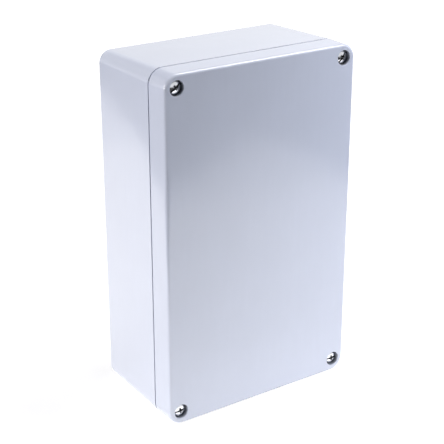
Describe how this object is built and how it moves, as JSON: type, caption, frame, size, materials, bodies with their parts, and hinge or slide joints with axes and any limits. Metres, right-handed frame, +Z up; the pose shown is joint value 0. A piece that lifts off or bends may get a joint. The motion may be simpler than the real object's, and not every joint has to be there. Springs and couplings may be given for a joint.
{
  "type": "polyester enclosure",
  "caption": "Wall-mounting polyester enclosure: a deep tapered base and a shallow lid with captive corner screws, a rubber seal and brass inserts.",
  "frame": {"origin": "centre of the bounding box's underside: the middle of the short end that the box stands on", "axes": "+Z up along the long side, the lid faces -Y, the back faces +Y, +X to the right seen from the front"},
  "size_m": [0.16, 0.09, 0.26],
  "materials": {
    "polyester": "smooth moulded light grey, half gloss",
    "stainless": "bright turned stainless steel",
    "brass": "turned brass",
    "seal_rubber": "matt black rubber",
    "nylon": "natural nylon"
  },
  "bodies": {
    "base": {"base": "polyester", "lid_insert_top_left": "brass", "lid_insert_top_right": "brass", "lid_insert_bottom_left": "brass", "lid_insert_bottom_right": "brass", "floor_insert_top_left": "brass", "floor_insert_top_right": "brass", "floor_insert_bottom_left": "brass", "floor_insert_bottom_right": "brass", "floor_insert_middle_left": "brass", "floor_insert_middle_right": "brass"},
    "lid": {"lid": "polyester", "gasket": "seal_rubber"},
    "ring_top_left": {"retaining_ring_top_left": "nylon"},
    "screw_top_left": {"lid_screw_top_left": "stainless"},
    "ring_top_right": {"retaining_ring_top_right": "nylon"},
    "screw_top_right": {"lid_screw_top_right": "stainless"},
    "ring_bottom_left": {"retaining_ring_bottom_left": "nylon"},
    "screw_bottom_left": {"lid_screw_bottom_left": "stainless"},
    "ring_bottom_right": {"retaining_ring_bottom_right": "nylon"},
    "screw_bottom_right": {"lid_screw_bottom_right": "stainless"}
  },
  "joints": [
    {"name": "lid_lift", "type": "slide", "parent": "base", "child": "lid", "axis": [0, -1, 0], "range_m": [0, 0.15]},
    {"name": "screw_travel_top_left", "type": "slide", "parent": "lid", "child": "ring_top_left", "axis": [0, -1, 0], "range_m": [0, 0.008]},
    {"name": "screw_turn_top_left", "type": "hinge", "parent": "ring_top_left", "child": "screw_top_left", "pos_m": [-0.07, -0.04, 0.25], "axis": [0, -1, 0], "range_deg": [0, 2880]},
    {"name": "screw_travel_top_right", "type": "slide", "parent": "lid", "child": "ring_top_right", "axis": [0, -1, 0], "range_m": [0, 0.008]},
    {"name": "screw_turn_top_right", "type": "hinge", "parent": "ring_top_right", "child": "screw_top_right", "pos_m": [0.07, -0.04, 0.25], "axis": [0, -1, 0], "range_deg": [0, 2880]},
    {"name": "screw_travel_bottom_left", "type": "slide", "parent": "lid", "child": "ring_bottom_left", "axis": [0, -1, 0], "range_m": [0, 0.008]},
    {"name": "screw_turn_bottom_left", "type": "hinge", "parent": "ring_bottom_left", "child": "screw_bottom_left", "pos_m": [-0.07, -0.04, 0.01], "axis": [0, -1, 0], "range_deg": [0, 2880]},
    {"name": "screw_travel_bottom_right", "type": "slide", "parent": "lid", "child": "ring_bottom_right", "axis": [0, -1, 0], "range_m": [0, 0.008]},
    {"name": "screw_turn_bottom_right", "type": "hinge", "parent": "ring_bottom_right", "child": "screw_bottom_right", "pos_m": [0.07, -0.04, 0.01], "axis": [0, -1, 0], "range_deg": [0, 2880]}
  ],
  "couplings": [
    {"joint": "screw_turn_top_left", "follows": "screw_travel_top_left", "rad_per_m": 6283},
    {"joint": "screw_turn_top_right", "follows": "screw_travel_top_right", "rad_per_m": 6283},
    {"joint": "screw_turn_bottom_left", "follows": "screw_travel_bottom_left", "rad_per_m": 6283},
    {"joint": "screw_turn_bottom_right", "follows": "screw_travel_bottom_right", "rad_per_m": 6283}
  ]
}
